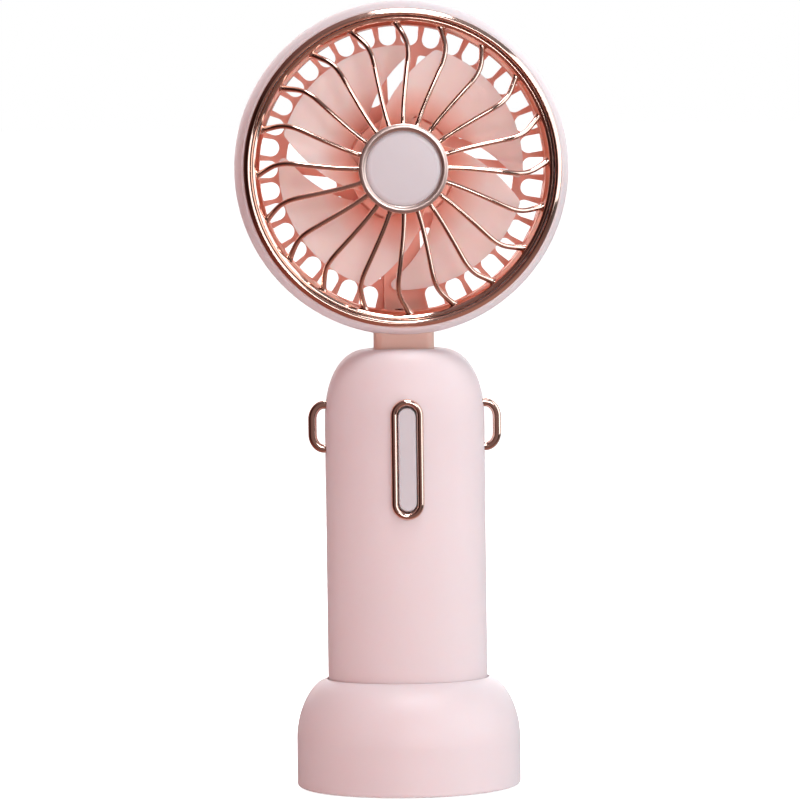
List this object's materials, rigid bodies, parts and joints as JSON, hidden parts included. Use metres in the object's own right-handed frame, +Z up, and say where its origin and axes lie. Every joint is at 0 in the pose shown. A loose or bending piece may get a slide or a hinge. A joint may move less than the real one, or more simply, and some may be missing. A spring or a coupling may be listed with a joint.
{
  "type": "handheld electric fan",
  "caption": "Handheld electric fan with a round grilled head, an oval handle with a long button and side lanyard rings, standing in a rounded cup stand.",
  "frame": {"origin": "centre of the stand's underside, on the surface it stands on", "axes": "+Z up along the handle; the fan blows towards -Y; +X to the right as seen from the front"},
  "size_m": [0.0902, 0.054, 0.2127],
  "materials": {
    "shell_pink": "fine satin moulding",
    "cap_pink": "satin",
    "blade_pink": "semi-gloss moulding",
    "coral": "semi-gloss moulding",
    "rose_gold": "rose gold electroplating on plastic",
    "rose_gold_metal": "rose gold plated metal",
    "steel": "plain",
    "copper": "enamelled copper and laminations",
    "bronze": "oil-filled sintered bronze",
    "ferrite": "sintered ferrite",
    "black_plastic": "glass-filled nylon",
    "board_green": "solder mask on glass laminate",
    "cell_wrap": "lithium cell in a shrink sleeve",
    "lead_rubber": "silicone insulated lead",
    "pad_rubber": "soft non-slip rubber"
  },
  "bodies": {
    "dock": {"dock_shell": "shell_pink", "dock_base_plate": "shell_pink", "dock_screws": "steel", "dock_pad": "pad_rubber"},
    "rotor": {"impeller": "blade_pink", "motor_shaft": "steel", "motor_armature": "copper", "motor_commutator": "copper"},
    "button": {"power_button": "cap_pink", "switch_plunger": "black_plastic"},
    "ring_left": {"lanyard_ring_left": "rose_gold_metal"},
    "ring_right": {"lanyard_ring_right": "rose_gold_metal"},
    "fan": {"head_front_shell": "shell_pink", "head_rear_shell": "shell_pink", "bezel_ring": "rose_gold", "front_grille": "rose_gold", "hub_cap": "cap_pink", "rear_grille": "coral", "motor_cover": "coral", "motor_can": "steel", "motor_end_cap": "black_plastic", "motor_magnets": "ferrite", "motor_brushes": "copper", "shaft_bushes": "bronze", "motor_screws": "steel", "motor_leads": "lead_rubber", "neck": "shell_pink", "handle_front_shell": "shell_pink", "handle_rear_shell": "shell_pink", "button_bezel": "rose_gold", "tact_switch": "steel", "main_board": "board_green", "charge_board": "board_green", "usb_port": "steel", "battery_cell": "cell_wrap", "battery_tabs": "steel", "battery_leads": "lead_rubber", "board_leads": "lead_rubber", "handle_screws": "steel", "board_screws": "steel"}
  },
  "joints": [
    {"name": "dock_lift", "type": "slide", "parent": "dock", "child": "fan", "axis": [0, 0, 1], "range_m": [0, 0.03]},
    {"name": "rotor_spin", "type": "hinge", "parent": "fan", "child": "rotor", "pos_m": [0, 0, 0.1676], "axis": [0, 1, 0], "continuous": true},
    {"name": "button_press", "type": "slide", "parent": "fan", "child": "button", "axis": [0, 1, 0], "range_m": [0, 0.0005], "stiffness_N_per_m": 3000, "springref_m": -0.0002},
    {"name": "ring_left_swing", "type": "hinge", "parent": "fan", "child": "ring_left", "pos_m": [-0.0186, 0, 0.0981], "axis": [0, 0, 1], "range_deg": [-20, 20]},
    {"name": "ring_right_swing", "type": "hinge", "parent": "fan", "child": "ring_right", "pos_m": [0.0186, 0, 0.0981], "axis": [0, 0, 1], "range_deg": [-20, 20]}
  ]
}
